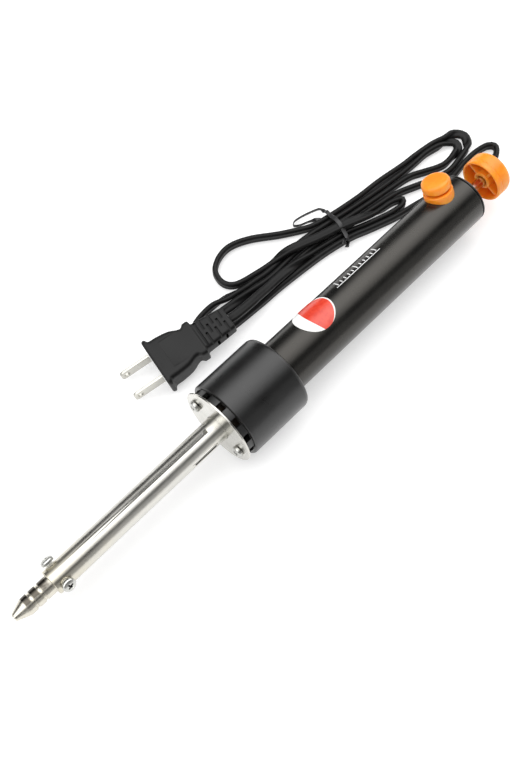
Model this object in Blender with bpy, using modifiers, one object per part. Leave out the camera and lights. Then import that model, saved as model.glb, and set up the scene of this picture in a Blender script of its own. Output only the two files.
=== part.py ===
"""Electrically heated desoldering pump with its mains lead, modelled in metres, +Z up.

The tool lies level along X: the nozzle points to -X and the plunger knob to +X. Its collar rests on
the floor, z = 0, and the lead lies in a tied hank beside it on +Y. The origin is on the floor, under
the middle of the tool. Stations are millimetres from the nozzle's end along the tool's axis.
"""
from math import cos, pi, radians, sin

import bmesh
import bpy
from mathutils import Matrix, Vector

MM = 0.001
GAP = 0.3  # clearance between touching pieces

# Driving dimensions, millimetres
LENGTH = 311.4  # nozzle's end to the back of the knob
COLLAR_R = 19.75
TUBE_R = 13.2
TUBE_WALL = 1.3
BARREL_R = 6.1
BARREL_WALL = 0.6
TIP_R = 4.3
BORE_R = 0.75  # suction hole
SUCTION_R = 1.6
ROD_R = 2.5
CROSS_W = 0.9  # width of a screw recess's arms
KNOB_R = 11.4

# Stations along the axis
BARREL_FRONT = 20.2
CLAMP_AT = 24.8
SLOT_AT = 104.5
FLANGE_AT = 117.6
COLLAR_FRONT, COLLAR_BACK = 122.2, 156.2
TUBE_FRONT, TUBE_BACK = 141.0, 287.0
LABEL_AT = 184.0
GUIDE_AT = 208.3
STOP_AT = 226.0
BUTTON_AT = 273.7
KNOB_FRONT = 301.1

# Directions round the axis, degrees from the top of the print towards +Y
ROLL = 21.0  # the print leans this far from upright towards the lead
BUTTON_ANGLE = 6.0
CLAMP_ANGLES = (37.0, 157.0, 277.0)
SLOT_ANGLES = (81.0, 263.0)
VENT_ANGLE = -16.0
FLANGE_SCREW_ANGLES = (53.0, 233.0)
FLANGE_SCREW_R = 13.75
CORD_ANGLE = 134.0

# Lead
CORD_R = 1.8  # round stand-in for a flat twin lead of 5.0 by 2.8
CORD_Z = 1.9
HANK_BOTTOM, HANK_TOP = 0.6, 6.2
PLUG_FRONT = (122.9, 46.6, 7.0)
PLUG_YAW, PLUG_PITCH = -12.6, 9.0
BLADE_PITCH = 12.7

TUBE_BORE = TUBE_R - TUBE_WALL
INNER_DISC_R = TUBE_BORE - GAP
BARREL_BORE = BARREL_R - BARREL_WALL
CYLINDER_R, CYLINDER_BORE = 9.3, 8.3
COLORS = {
    "nickel": ((0.72, 0.71, 0.68), 0.18, 1.0),
    "zinc": ((0.66, 0.66, 0.64), 0.28, 1.0),
    "steel": ((0.55, 0.55, 0.56), 0.3, 1.0),
    "brass": ((0.62, 0.42, 0.15), 0.3, 1.0),
    "black_plastic": ((0.016, 0.016, 0.017), 0.42, 0.0),
    "orange_plastic": ((0.95, 0.27, 0.03), 0.38, 0.0),
    "white_plastic": ((0.72, 0.72, 0.68), 0.5, 0.0),
    "rubber": ((0.02, 0.02, 0.02), 0.75, 0.0),
    "pvc": ((0.018, 0.018, 0.019), 0.5, 0.0),
    "ceramic": ((0.8, 0.77, 0.7), 0.6, 0.0),
    "mica": ((0.5, 0.42, 0.28), 0.55, 0.0),
    "label": ((0.8, 0.1, 0.05), 0.4, 0.0),
}


def clear_scene():
    for obj in list(bpy.data.objects):
        bpy.data.objects.remove(obj, do_unlink=True)


def new_collection(name):
    found = bpy.data.collections.new(name)
    bpy.context.scene.collection.children.link(found)
    return found


clear_scene()
PARTS = new_collection("desoldering_pump")
CUTTERS = new_collection("cutters")

TOOL = bpy.data.objects.new("tool_axis", None)
TOOL.location = (0, 0, COLLAR_R * MM)
TOOL.rotation_euler = (-radians(ROLL), 0, 0)
PARTS.objects.link(TOOL)


def station(x):
    """The coordinate along X of a station on the axis, in metres."""
    return (x - LENGTH / 2) * MM


def paint(obj, finish):
    """Gives the object a material of its own."""
    color, roughness, metallic = COLORS[finish]
    material = bpy.data.materials.new(f"{obj.name}_{finish}")
    material.use_nodes = True
    shader = material.node_tree.nodes["Principled BSDF"]
    shader.inputs["Base Color"].default_value = (*color, 1)
    shader.inputs["Roughness"].default_value = roughness
    shader.inputs["Metallic"].default_value = metallic
    obj.data.materials.append(material)


def add(name, data, finish=None, parent=TOOL):
    """A new object: a part where it has a finish, and otherwise a cutter or a union operand."""
    obj = bpy.data.objects.new(name, data)
    obj.parent = parent
    if finish:
        PARTS.objects.link(obj)
        paint(obj, finish)
    else:
        CUTTERS.objects.link(obj)
        obj.hide_render = True
        obj.display_type = "WIRE"
    return obj


def on_axis(obj):
    """Turns the object's local Z along the tool's axis, with z = 0 at the nozzle's end."""
    obj.location = (station(0), 0, 0)
    obj.rotation_euler = (0, pi / 2, 0)
    return obj


def radial(obj, x, angle, radius=0.0):
    """Turns the object's local Z outwards at a station and an angle round the axis."""
    turn = radians(angle)
    obj.location = (station(x), radius * sin(turn) * MM, radius * cos(turn) * MM)
    obj.rotation_euler = (-turn, 0, 0)
    return obj


def turned(name, outline, finish=None, steps=32, closed=True, parent=TOOL):
    """A body of revolution round local Z.

    The outline's (z, radius) points run along the outside from low z to high z and, where the body
    has a bore, back along it. A body without a bore starts and ends on the axis, and isn't closed.
    """
    points = [(radius * MM, 0, z * MM) for z, radius in reversed(outline)]
    edges = [(i, i + 1) for i in range(len(points) - 1)]
    if closed:
        edges.append((len(points) - 1, 0))
    mesh = bpy.data.meshes.new(name)
    mesh.from_pydata(points, edges, [])
    obj = add(name, mesh, finish, parent)
    screw = obj.modifiers.new("turn", "SCREW")
    screw.axis = "Z"
    screw.steps = screw.render_steps = steps
    screw.use_merge_vertices = True
    screw.merge_threshold = 1e-5
    screw.use_smooth_shade = False
    return obj


def block(name, size, finish=None, parent=TOOL):
    """A box of the given size in millimetres, centred on its origin."""
    mesh = bpy.data.meshes.new(name)
    shape = bmesh.new()
    bmesh.ops.create_cube(shape, size=1.0)
    bmesh.ops.scale(shape, vec=Vector(size) * MM, verts=shape.verts)
    shape.to_mesh(mesh)
    shape.free()
    return add(name, mesh, finish, parent)


def rod(name, radius, length, finish=None, steps=24, parent=TOOL):
    """A plain cylinder along local Z, centred on its origin."""
    mesh = bpy.data.meshes.new(name)
    shape = bmesh.new()
    bmesh.ops.create_cone(shape, cap_ends=True, segments=steps, radius1=radius * MM,
                          radius2=radius * MM, depth=length * MM)
    shape.to_mesh(mesh)
    shape.free()
    return add(name, mesh, finish, parent)


def boolean(obj, other, operation="DIFFERENCE"):
    modifier = obj.modifiers.new(operation.lower(), "BOOLEAN")
    modifier.operation = operation
    modifier.solver = "EXACT"
    modifier.object = other
    return obj


def arc(z, radius, fillet, start, end, count=4):
    """(z, radius) points round a fillet's centre, between two angles in degrees from +z."""
    turns = [radians(start + (end - start) * i / count) for i in range(count + 1)]
    return [(z + fillet * cos(t), radius + fillet * sin(t)) for t in turns]


def smooth(route, spacing):
    """Points about `spacing` apart on a Catmull-Rom curve through the route's points."""
    knots = [Vector(p) for p in route]
    knots = [knots[0] * 2 - knots[1], *knots, knots[-1] * 2 - knots[-2]]
    points = []
    for a, b, c, d in zip(knots, knots[1:], knots[2:], knots[3:]):
        count = max(1, round((c - b).length / spacing))
        for i in range(count):
            t = i / count
            points.append(0.5 * (2 * b + (c - a) * t + (2 * a - 5 * b + 4 * c - d) * t * t
                                 + (3 * b - a - 3 * c + d) * t ** 3))
    return points + [knots[-2]]


def wire(name, points, radius, finish, resolution=2, parent=TOOL):
    """A round wire or tube through points given in millimetres."""
    curve = bpy.data.curves.new(name, "CURVE")
    curve.dimensions = "3D"
    curve.bevel_depth = radius * MM
    curve.bevel_resolution = resolution
    curve.use_fill_caps = True
    spline = curve.splines.new("POLY")
    spline.points.add(len(points) - 1)
    for point, place in zip(spline.points, points):
        point.co = (*(Vector(place) * MM), 1)
    return add(name, curve, finish, parent)


def coil_points(radius, start, end, turns, per_turn=10):
    """Points of a helix round local Z, from z = start to z = end."""
    count = turns * per_turn
    return [
        (radius * cos(2 * pi * i / per_turn), radius * sin(2 * pi * i / per_turn),
         start + (end - start) * i / count)
        for i in range(count + 1)
    ]


def rounded_section(width, height, corner, per_corner=3):
    """A rounded rectangle's (across, up) points, anticlockwise."""
    points = []
    for quarter, (side, top) in enumerate(((1, 1), (-1, 1), (-1, -1), (1, -1))):
        centre = (side * (width / 2 - corner), top * (height / 2 - corner))
        for i in range(per_corner):
            turn = pi / 2 * (quarter + i / (per_corner - 1))
            points.append((centre[0] + corner * cos(turn), centre[1] + corner * sin(turn)))
    return points


def loft(name, rings, finish, parent=None):
    """A closed skin over rings of equally many points, in millimetres, capped at both ends."""
    mesh = bpy.data.meshes.new(name)
    shape = bmesh.new()
    rows = [[shape.verts.new(Vector(point) * MM) for point in ring] for ring in rings]
    for low, high in zip(rows, rows[1:]):
        for i in range(len(low)):
            j = (i + 1) % len(low)
            shape.faces.new((low[i], low[j], high[j], high[i]))
    shape.faces.new(reversed(rows[0]))
    shape.faces.new(rows[-1])
    bmesh.ops.recalc_face_normals(shape, faces=shape.faces)
    shape.to_mesh(mesh)
    shape.free()
    return add(name, mesh, finish, parent)


def radial_hole(name, obj, x, angle, radius, depth=30.0):
    """Bores a radial hole through one side of a turned part."""
    cutter = radial(rod(name, radius, depth, steps=20), x, angle, depth / 2)
    return boolean(obj, cutter)


def cross_recess(obj, place, size, depth):
    """Cuts a cross-shaped driver recess into a screw's head; place puts each cutter there."""
    for i, (across, along) in enumerate(((size, CROSS_W), (CROSS_W, size))):
        cutter = block(f"{obj.name}_recess_{i + 1}", (across, along, depth * 2))
        boolean(obj, place(cutter))


def pan_screw_outline(shank_r, shank, head_r, head):
    """A pan-head screw with its shank's end at z = 0."""
    top = shank + head
    return [(0, 0), (0, shank_r - 0.3), (0.3, shank_r), (shank, shank_r), (shank, head_r),
            (top - 0.9, head_r), (top - 0.3, head_r - 0.4), (top, head_r - 1.2), (top, 0)]


# ---- heated end -------------------------------------------------------------------------------


def nozzle_tip():
    """Pointed nozzle with two ring grooves, bored for suction and counterbored for the tube."""
    groove = [(0, TIP_R), (0.3, TIP_R - 0.4), (0.9, TIP_R - 0.4), (1.2, TIP_R)]
    rings = [(at + z, radius) for at in (9.6, 14.2) for z, radius in groove]
    outline = [(0, 1.55), (5.9, 4.0), (6.6, TIP_R), *rings, (31.6, TIP_R), (32.0, TIP_R - 0.4),
               (32.0, SUCTION_R + GAP), (23.0, SUCTION_R + GAP), (23.0, BORE_R), (0, BORE_R)]
    return on_axis(turned("nozzle_tip", outline, "nickel", 20))


def barrel_tube():
    """Polished barrel over the heater, with clamp holes, two slots, a vent and a flared root."""
    outline = [(BARREL_FRONT, BARREL_R - 0.2), (BARREL_FRONT + 0.2, BARREL_R), (119.0, BARREL_R),
               (119.0, 7.5), (120.0, 7.5), (120.0, BARREL_BORE), (BARREL_FRONT, BARREL_BORE)]
    barrel = on_axis(turned("barrel_tube", outline, "nickel", 28))
    for i, angle in enumerate(CLAMP_ANGLES):
        radial_hole(f"clamp_hole_{i + 1}", barrel, CLAMP_AT, angle, 1.8)
    radial_hole("vent_hole", barrel, 110.0, VENT_ANGLE, 0.9)
    for i, angle in enumerate(SLOT_ANGLES):
        slot = radial(block(f"barrel_slot_{i + 1}", (13.0, 1.1, 10.0)), SLOT_AT, angle, 7.0)
        boolean(barrel, slot)
    return barrel


def clamp_screws():
    """Three set screws that centre and hold the nozzle in the barrel."""
    low, shank, head = TIP_R + GAP, 2.7, 2.2
    for i, angle in enumerate(CLAMP_ANGLES):
        screw = turned(f"clamp_screw_{i + 1}", pan_screw_outline(1.5, shank, 3.0, head), "zinc",
                       16, closed=False)
        radial(screw, CLAMP_AT, angle, low)
        top = low + shank + head
        cross_recess(screw, lambda cutter: radial(cutter, CLAMP_AT, angle, top), 3.4, 1.0)


def suction_tube():
    outline = [(23.5, SUCTION_R), (149.5, SUCTION_R), (149.5, 1.1), (23.5, 1.1)]
    return on_axis(turned("suction_tube", outline, "steel", 16))


def heater():
    """Ceramic core round the suction tube, resistance coil on it and mica sleeve over both."""
    core = [(40, 3.2), (104, 3.2), (104, 1.9), (40, 1.9)]
    on_axis(turned("heater_core", core, "ceramic", 16))
    on_axis(wire("heater_coil", coil_points(3.75, 42, 102, 10, 8), 0.25, "steel", 1))
    sleeve = [(38, 5.2), (106, 5.2), (106, 4.3), (38, 4.3)]
    on_axis(turned("mica_sleeve", sleeve, "mica", 20))


def flange_plate():
    """Steel disc that carries the barrel and shields the collar from its heat."""
    back = FLANGE_AT + 1.0
    outline = [(FLANGE_AT, 19.4), (FLANGE_AT + 0.2, 19.6), (back - 0.2, 19.6), (back, 19.4),
               (back, BARREL_R + GAP), (FLANGE_AT, BARREL_R + GAP)]
    plate = on_axis(turned("flange_plate", outline, "nickel", 40))
    for i, angle in enumerate(FLANGE_SCREW_ANGLES):
        boolean(plate, along_x(rod(f"flange_hole_{i + 1}", 1.8, 6.0, steps=12), FLANGE_AT, angle,
                               FLANGE_SCREW_R))
    return plate


def along_x(obj, x, angle, radius):
    """Turns the object's local Z along the axis, off to one side of it."""
    turn = radians(angle)
    obj.location = (station(x), radius * sin(turn) * MM, radius * cos(turn) * MM)
    obj.rotation_euler = (0, pi / 2, 0)
    return obj


def flange_screws():
    """Two screws through the flange plate into the collar's bosses."""
    shank, head = 14.0, 2.0
    outline = pan_screw_outline(1.4, shank, 2.9, head)
    flipped = [(-z, radius) for z, radius in reversed(outline)]  # the head faces the nozzle
    end = FLANGE_AT - GAP + shank
    for i, angle in enumerate(FLANGE_SCREW_ANGLES):
        screw = turned(f"flange_screw_{i + 1}", flipped, "zinc", 16, closed=False)
        along_x(screw, end, angle, FLANGE_SCREW_R)
        top = end - shank - head
        cross_recess(screw, lambda cutter: along_x(cutter, top, angle, FLANGE_SCREW_R), 3.4, 0.9)


def insulator_ring():
    outline = [(120.4, 10.0), (124.0, 10.0), (124.0, 5.6), (120.4, 5.6)]
    return on_axis(turned("insulator_ring", outline, "mica", 24))


# ---- handle -----------------------------------------------------------------------------------


def heat_collar():
    """Thick collar with a vented front ring, two screw bosses and the socket for the tube."""
    socket = TUBE_R + GAP
    fillet = 2.0
    outline = [
        (118.9, 15.8), (118.9, 18.0), (COLLAR_FRONT, 18.0), (COLLAR_FRONT, COLLAR_R - 0.3),
        (COLLAR_FRONT + 0.3, COLLAR_R),
        *reversed(arc(COLLAR_BACK - fillet, COLLAR_R - fillet, fillet, 0, 90, 3)),
        (COLLAR_BACK, socket), (TUBE_FRONT - GAP, socket), (TUBE_FRONT - GAP, INNER_DISC_R),
        (136.0, INNER_DISC_R), (136.0, 15.8),
    ]
    collar = on_axis(turned("heat_collar", outline, "black_plastic", 40))
    for i in range(12):
        notch = radial(block(f"collar_notch_{i + 1}", (6.4, 4.0, 8.0)), 118.9, 30 * i + 8, 17.0)
        boolean(collar, notch)
    for i, angle in enumerate(FLANGE_SCREW_ANGLES):
        boss = along_x(rod(f"collar_boss_{i + 1}", 3.2, 18.1, steps=12), 127.95, angle,
                       FLANGE_SCREW_R)
        boolean(collar, boss, "UNION")
    for i, angle in enumerate(FLANGE_SCREW_ANGLES):
        pilot = along_x(rod(f"collar_pilot_{i + 1}", 1.7, 20.0, steps=12), 122.0, angle,
                        FLANGE_SCREW_R)
        boolean(collar, pilot)
    return collar


def pump_tube():
    """Outer tube of the handle, with the button's hole near its back."""
    outline = [(TUBE_FRONT, TUBE_R), (TUBE_BACK - 0.3, TUBE_R), (TUBE_BACK, TUBE_R - 0.3),
               (TUBE_BACK, TUBE_BORE), (TUBE_FRONT, TUBE_BORE)]
    tube = on_axis(turned("pump_tube", outline, "black_plastic", 40))
    return radial_hole("button_hole", tube, BUTTON_AT, BUTTON_ANGLE, 5.9)


def label_sticker():
    """Round sticker that follows the tube's surface."""
    low = TUBE_R + GAP
    outline = [(LABEL_AT - 13, low + 0.25), (LABEL_AT + 13, low + 0.25), (LABEL_AT + 13, low),
               (LABEL_AT - 13, low)]
    sticker = on_axis(turned("label_sticker", outline, "label", 48))
    return boolean(sticker, radial(rod("label_outline", 10.25, 20, steps=28), LABEL_AT, 0, 16),
                   "INTERSECT")


def lead_notch(name, obj, x, depth):
    """Cuts the edge of an inner disc for the two heater leads."""
    return boolean(obj, radial(block(name, (depth, 6.4, 5.0)), x, CORD_ANGLE, 12.1))


def pump_head():
    """Front closure of the pump: takes the suction tube and plugs the cylinder."""
    outline = [(146.5, INNER_DISC_R), (150.0, INNER_DISC_R), (150.0, CYLINDER_BORE - GAP),
               (154.6, CYLINDER_BORE - GAP), (155.0, 7.6), (155.0, 1.2), (150.0, 1.2),
               (150.0, SUCTION_R + GAP), (146.5, SUCTION_R + GAP)]
    head = on_axis(turned("pump_head", outline, "white_plastic", 24))
    return lead_notch("head_notch", head, 148.2, 5.0)


def pump_cylinder():
    gasket = [(150.3, CYLINDER_R), (151.1, CYLINDER_R), (151.1, CYLINDER_BORE), (150.3, CYLINDER_BORE)]
    on_axis(turned("head_gasket", gasket, "rubber", 20))
    outline = [(151.4, CYLINDER_R), (208.0, CYLINDER_R), (208.0, CYLINDER_BORE),
               (151.4, CYLINDER_BORE)]
    return on_axis(turned("pump_cylinder", outline, "white_plastic", 24))


def rod_guide():
    """Partition behind the cylinder, with a brass bush for the rod."""
    back = GUIDE_AT + 4.0
    outline = [(GUIDE_AT, INNER_DISC_R), (back, INNER_DISC_R), (back, 4.4), (GUIDE_AT, 4.4)]
    guide = on_axis(turned("rod_guide", outline, "white_plastic", 24))
    bush = [(GUIDE_AT, 4.1), (back, 4.1), (back, ROD_R + GAP), (GUIDE_AT, ROD_R + GAP)]
    on_axis(turned("guide_bush", bush, "brass", 16))
    return lead_notch("guide_notch", guide, GUIDE_AT + 2.0, 6.0)


def rear_cap():
    """Closes the back of the tube; the rod and the lead's strain relief pass through it."""
    outline = [(281.0, INNER_DISC_R), (TUBE_BACK + GAP, INNER_DISC_R),
               (TUBE_BACK + GAP, TUBE_R - 0.1), (TUBE_BACK + 1.0, TUBE_R - 0.1),
               (TUBE_BACK + 1.3, TUBE_R - 0.4), (TUBE_BACK + 1.3, ROD_R + GAP), (281.0, ROD_R + GAP)]
    cap = on_axis(turned("rear_cap", outline, "black_plastic", 32))
    opening = radial(block("relief_opening", (16.0, 7.4, 5.0)), 284.0, CORD_ANGLE, 8.4)
    return boolean(cap, opening)


# ---- plunger ----------------------------------------------------------------------------------


def piston():
    outline = [(156.0, 0), (156.0, 7.2), (156.6, 7.8), (159.3, 7.8), (159.3, 5.9), (161.7, 5.9),
               (161.7, 7.8), (165.9, 7.8), (165.9, ROD_R + GAP), (158.0, ROD_R + GAP), (158.0, 0)]
    on_axis(turned("piston", outline, "white_plastic", 24, closed=False))
    ring = arc(160.5, 7.1, 0.9, 180, -180, 6)[:-1]
    on_axis(turned("piston_o_ring", ring, "rubber", 24))


def plunger_rod():
    """Polished rod with the neck that the latch catches when the plunger is pushed in."""
    outline = [(158.3, 0), (158.3, ROD_R), (BUTTON_AT - 2.0, ROD_R), (BUTTON_AT - 1.5, 1.8),
               (BUTTON_AT + 1.5, 1.8), (BUTTON_AT + 2.0, ROD_R), (306.4, ROD_R), (306.4, 0)]
    on_axis(turned("plunger_rod", outline, "nickel", 20, closed=False))
    stop = [(STOP_AT, 6.0), (STOP_AT + 2.6, 6.0), (STOP_AT + 2.6, ROD_R + GAP),
            (STOP_AT, ROD_R + GAP)]
    on_axis(turned("spring_stop", stop, "steel", 16))


def plunger_spring():
    """Spring between the rod guide and the stop, compressed while the plunger is latched."""
    wire_r = 0.45
    low, high = GUIDE_AT + 4.0 + GAP + wire_r, STOP_AT - GAP - wire_r
    return on_axis(wire("plunger_spring", coil_points(4.9, low, high, 9, 8), wire_r, "steel", 1))


def knob():
    """Thumb knob: a cup that opens towards the tube, with a ribbed boss for the rod."""
    rib_from, rib_to, floor_at = 4.3, 10.2, 308.6
    outline = [
        (306.7, 0), (306.7, ROD_R + GAP), (302.0, ROD_R + GAP), (302.0, 4.6), (floor_at, 4.6),
        (floor_at, 9.6), (301.6, 10.0), (KNOB_FRONT, 10.4), (KNOB_FRONT, 10.9),
        (KNOB_FRONT + 0.5, KNOB_R), *reversed(arc(LENGTH - 2.5, KNOB_R - 2.5, 2.5, 0, 90, 3)),
        (LENGTH, 0),
    ]
    cup = on_axis(turned("knob", outline, "orange_plastic", 32, closed=False))
    for i in range(4):
        rib = block(f"knob_rib_{i + 1}", (6.0, 1.4, rib_to - rib_from))
        boolean(cup, radial(rib, floor_at - 2.6, 90 * i + 45, (rib_from + rib_to) / 2), "UNION")
    return cup


# ---- release button ---------------------------------------------------------------------------


def button():
    """Cap and stem, fixed base, latch plate round the rod and the spring that lifts them."""
    base_top, cap_low, cap_top, cap_r, fillet = 15.6, 17.1, 21.7, 7.1, 1.5
    stem_end, stem_r = 11.5, 5.2
    cap = [(stem_end, 0), (stem_end, stem_r), (cap_low, stem_r), (cap_low, cap_r - 0.3),
           (cap_low + 0.3, cap_r),
           *reversed(arc(cap_top - fillet, cap_r - fillet, fillet, 0, 90)), (cap_top, 0)]
    radial(turned("button_cap", cap, "orange_plastic", 28, closed=False), BUTTON_AT, BUTTON_ANGLE)
    base = [(10.5, 7.35), (base_top - 0.4, 7.35), (base_top, 6.95), (base_top, 5.5), (10.5, 5.5)]
    ring = radial(turned("button_base", base, "orange_plastic", 28), BUTTON_AT, BUTTON_ANGLE)
    saddle = rod("saddle_cutter", TUBE_R + GAP, 30, steps=48)
    boolean(ring, along_x(saddle, BUTTON_AT, 0, 0))
    plate = block("latch_plate", (2.0, 9.0, 16.7), "steel")
    slot = radial(block("latch_slot", (6.0, 6.2, 8.0)), BUTTON_AT, BUTTON_ANGLE, 0.9)
    boolean(radial(plate, BUTTON_AT, BUTTON_ANGLE, 2.85), slot)
    spring = wire("button_spring", coil_points(2.0, -11.2, -6.1, 4, 8), 0.25, "steel", 1)
    radial(spring, BUTTON_AT, BUTTON_ANGLE)


# ---- wiring inside the handle -----------------------------------------------------------------


def polar(x, angle, radius):
    """A point in the tool's frame, in millimetres, from a station, an angle and a radius."""
    turn = radians(angle)
    return (x - LENGTH / 2, radius * sin(turn), radius * cos(turn))


def heater_leads():
    """Two insulated leads from the heater to the splices, and the lead's own end behind them."""
    for i, side in enumerate((-1, 1)):
        close, far = CORD_ANGLE + side * 14, CORD_ANGLE + side * 8
        splice = CORD_ANGLE + side * 13
        route = [
            polar(107, close, 4.0), polar(125, close, 4.0), polar(131, far, 6.5),
            polar(137, far, 10.0), polar(142, far, 10.7), polar(240, far, 10.7),
            polar(245.0, splice, 9.4),
        ]
        wire(f"heater_lead_{i + 1}", route, 0.7, "ceramic", 1)
        sleeve = [(0, 1.5), (10, 1.5), (10, 0.4), (0, 0.4)]
        along_x(turned(f"splice_{i + 1}", sleeve, "white_plastic", 12), 245.8, splice, 9.4)
    tail = [polar(257.5, CORD_ANGLE, 9.2), polar(268, CORD_ANGLE, 9.2), polar(277.0, CORD_ANGLE, 8.5)]
    wire("cord_tail", tail, 1.3, "pvc", 2)


# ---- mains lead -------------------------------------------------------------------------------


def tool_point(x, radius):
    """World millimetres of a point at a station, on the side where the lead leaves the tool."""
    turn = radians(CORD_ANGLE + ROLL)
    return Vector((x - LENGTH / 2, radius * sin(turn), COLLAR_R + radius * cos(turn)))


def strain_relief():
    """Flat, ribbed strain relief that leaves the rear cap and bends away from the knob."""
    bend, straight_to, bend_r = radians(40), 287.8, 11.0
    offset, width, thick, thin = 8.4, 6.8, 4.2, 3.6
    rib_pitch, rib_steps = 1.15, 7
    turn = radians(CORD_ANGLE + ROLL)
    outward = Vector((0, sin(turn), cos(turn)))
    across = Vector((0, cos(turn), -sin(turn)))
    path = [(277.6, 1.35), (279.6, 1.35), (279.6, 1.0), (straight_to, 1.0)]
    rings = [(tool_point(x, offset), outward, swell) for x, swell in path]
    for i in range(1, 6):
        angle = bend * i / 5
        centre = tool_point(straight_to + bend_r * sin(angle), offset + bend_r * (1 - cos(angle)))
        rings.append((centre, outward * cos(angle) - Vector((sin(angle), 0, 0)), 1.0))
    start, normal, _ = rings[-1]
    ahead = Vector((cos(bend), 0, 0)) + outward * sin(bend)
    for i in range(1, rib_steps + 1):
        rings.append((start + ahead * rib_pitch * i, normal, 0.84 if i % 2 else 1.0))
    sections = []
    for i, (centre, up, swell) in enumerate(rings):
        height = (thick if i < len(path) else thin) * min(swell, 1.12)
        ring = rounded_section(width * swell, height, 1.2)
        sections.append([centre + across * a + up * b for a, b in ring])
    loft("strain_relief", sections, "rubber")
    return start + ahead * rib_pitch * rib_steps, ahead


def cord_exit_run():
    """The lead from the strain relief, under the knob and round into the hank."""
    end, ahead = strain_relief()
    first = end + ahead * GAP
    route = [first, first + ahead * 2.2, (155.0, 9.3, 2.5), (163.3, 9.4, CORD_Z),
             (172.6, 9.8, CORD_Z), (178.4, 12.6, CORD_Z), (177.2, 17.6, CORD_Z),
             (170.3, 20.9, CORD_Z), (163.4, 22.3, CORD_Z)]
    wire("cord_exit_run", smooth(route, 4.0), CORD_R, "pvc", parent=None)


def cord_side_loop():
    """The single loose loop that stands out of the hank beside the plug."""
    route = [(19.9, 55.6, CORD_Z), (20.7, 60.0, CORD_Z), (24.8, 66.2, CORD_Z), (33.8, 69.0, CORD_Z),
             (45.3, 66.4, CORD_Z), (57.3, 60.4, CORD_Z), (67.3, 54.4, CORD_Z)]
    wire("cord_side_loop", smooth(route, 5.0), CORD_R, "pvc", parent=None)


def plug_frame():
    """The plug's own axes in the world: X from its front towards the lead, Z up from its flat."""
    turn = Matrix.Rotation(radians(PLUG_YAW), 4, "Z") @ Matrix.Rotation(-radians(PLUG_PITCH), 4, "Y")
    return Matrix.Translation(Vector(PLUG_FRONT) - Vector((LENGTH / 2, 0, 0))) @ turn


def plug():
    """Moulded two-pole plug with a front flange, winged grip and ribbed tail, and its blades."""
    frame = plug_frame()
    outline = [  # along, width, height
        (0.0, 26.6, 13.6), (1.8, 27.0, 13.8), (2.2, 23.0, 12.6), (7.0, 22.6, 12.4),
        (14.0, 21.0, 11.8), (18.5, 17.0, 10.6), (20.0, 19.6, 10.4), (23.6, 19.8, 10.2),
        (24.2, 15.8, 8.4),
    ]
    for i in range(6):
        start = 25.4 + 2.6 * i
        width = 15.4 - 0.35 * i
        outline += [(start, width, 7.8), (start + 1.2, width, 7.8), (start + 1.3, width - 1.4, 6.4)]
        outline += [(start + 2.2, width - 1.4, 6.4)]
    outline.append((41.0, 12.6, 7.0))
    rings = []
    for along, width, height in outline:
        section = rounded_section(width, height, min(width, height) * 0.3)
        rings.append([frame @ Vector((along, across, up)) for across, up in section])
    loft("plug_body", rings, "pvc")
    for i, side in enumerate((-1, 1)):
        blade = block(f"plug_blade_{i + 1}", (16.2, 1.5, 6.3), "nickel", parent=None)
        blade.matrix_world = place_blade(frame, side)
        hole = rod(f"blade_hole_{i + 1}", 1.5, 5.0, steps=16, parent=None)
        hole.matrix_world = place_blade(frame, side) @ Matrix.Translation((-0.0049, 0, 0)) \
            @ Matrix.Rotation(pi / 2, 4, "X")
        boolean(blade, hole)
    return frame


def place_blade(frame, side):
    """The world matrix of a blade, in metres."""
    centre = frame @ Vector((-GAP - 8.1, side * BLADE_PITCH / 2, 0))
    return Matrix.Translation(centre * MM) @ frame.to_3x3().to_4x4()


def cord_plug_run(frame):
    """The lead from the plug's tail down onto the hank."""
    first = frame @ Vector((41.3, 0, 0))
    second = frame @ Vector((45.0, 0, 0))
    on_hank = HANK_TOP + GAP + CORD_R
    route = [first, second, (15.8, 36.4, 13.6), (21.3, 37.0, 12.4), (27.3, 38.2, 10.2),
             (32.3, 39.0, on_hank + 0.6), (39.3, 39.4, on_hank), (46.3, 39.6, on_hank)]
    wire("cord_plug_run", smooth(route, 4.0), CORD_R, "pvc", parent=None)


def cord_hank():
    """The folded part of the lead, as one solid with round ends."""
    outline = [
        (-3.2, 38.0), (-3.2, 45.0), (-1.7, 49.0), (2.3, 51.6), (20.3, 52.6), (51.3, 51.0),
        (81.3, 49.0), (107.3, 47.2), (146.3, 44.2), (167.3, 39.6), (173.3, 36.4), (175.8, 32.0),
        (173.8, 27.6), (167.3, 25.4), (162.9, 25.2), (162.9, 19.8), (150.3, 16.4),
        (132.3, 17.0), (116.3, 19.4), (105.3, 22.6), (93.3, 26.8), (83.3, 30.0), (51.3, 30.6),
        (20.3, 31.4), (2.3, 33.0), (-1.7, 34.6),
    ]
    rings = [[(x, y, z) for x, y in outline] for z in (HANK_BOTTOM, HANK_TOP)]
    return loft("cord_hank", rings, "pvc")


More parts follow.
